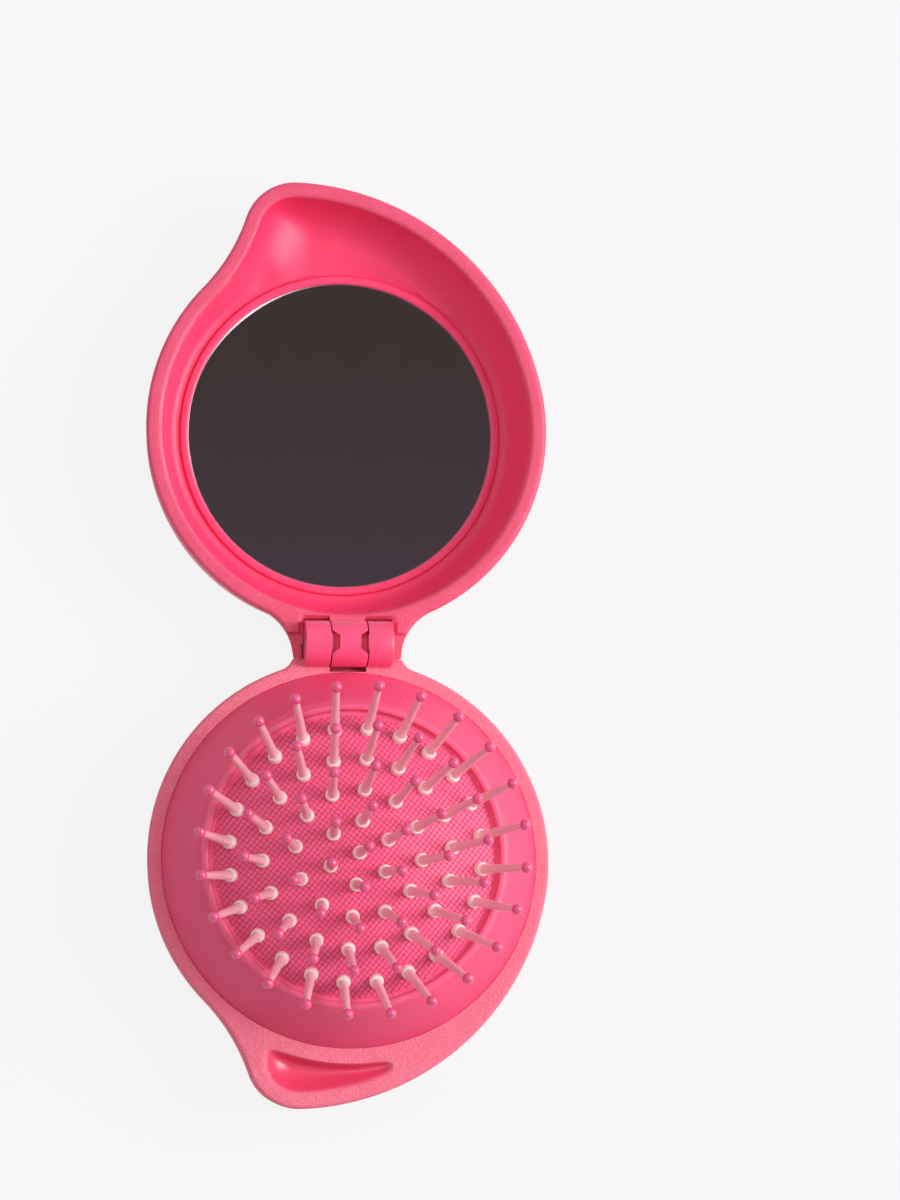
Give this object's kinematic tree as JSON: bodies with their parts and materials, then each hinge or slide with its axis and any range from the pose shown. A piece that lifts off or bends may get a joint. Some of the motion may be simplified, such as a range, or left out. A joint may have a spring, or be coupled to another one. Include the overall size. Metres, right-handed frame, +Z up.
{
  "type": "folding hairbrush with mirror",
  "caption": "Folding pocket hairbrush: a round case with a swept tip, a mirror in its lid and a pop-up cushion of ball-tipped pins in its base.",
  "frame": {"origin": "on the plane that both backs rest on, straight below the middle of the hinge axis, with the brush open flat", "axes": "+X along the hinge axis, +Y from the hinge to the lid, +Z up, the way the mirror and the pins face"},
  "size_m": [0.0764, 0.176, 0.0478],
  "materials": {
    "shell_pink": "satin",
    "frame_pink": "fine sandy texture",
    "liner_pink": "smooth satin",
    "bezel_pink": "smooth satin",
    "mirror_silver": "polished",
    "adhesive_white": "matte",
    "membrane_pink": "smooth satin",
    "rim_pink": "smooth satin",
    "cushion_pink": "fine square grid",
    "carrier_white": "matte",
    "button_pink": "satin",
    "pin_nylon": "translucent gloss",
    "tip_magenta": "gloss",
    "pin_steel": "brushed"
  },
  "bodies": {
    "base": {"base_shell": "shell_pink", "base_frame": "frame_pink", "pop_membrane": "membrane_pink", "hinge_pin": "pin_steel"},
    "lid": {"lid_shell": "shell_pink", "lid_liner": "liner_pink", "mirror_bezel": "bezel_pink", "mirror_glass": "mirror_silver", "mirror_adhesive": "adhesive_white"},
    "pad": {"pad_rim": "rim_pink", "cushion": "cushion_pink", "carrier_disc": "carrier_white", "push_button": "button_pink", "pin_middle": "pin_nylon", "pins_ring_1": "pin_nylon", "pins_ring_2": "pin_nylon", "pins_ring_3": "pin_nylon", "pins_ring_4": "pin_nylon", "tip_middle": "tip_magenta", "tips_ring_1": "tip_magenta", "tips_ring_2": "tip_magenta", "tips_ring_3": "tip_magenta", "tips_ring_4": "tip_magenta"}
  },
  "joints": [
    {"name": "lid_hinge", "type": "hinge", "parent": "base", "child": "lid", "pos_m": [0, 0, 0.017], "axis": [1, 0, 0], "range_deg": [0, 180]},
    {"name": "pad_pop", "type": "slide", "parent": "base", "child": "pad", "axis": [0, 0, 1], "range_m": [-0.0205, 0], "deforming": ["pop_membrane"]}
  ],
  "couplings": [
    {"joint": "pad_pop", "follows": "lid_hinge", "m_per_rad": -0.006525}
  ]
}
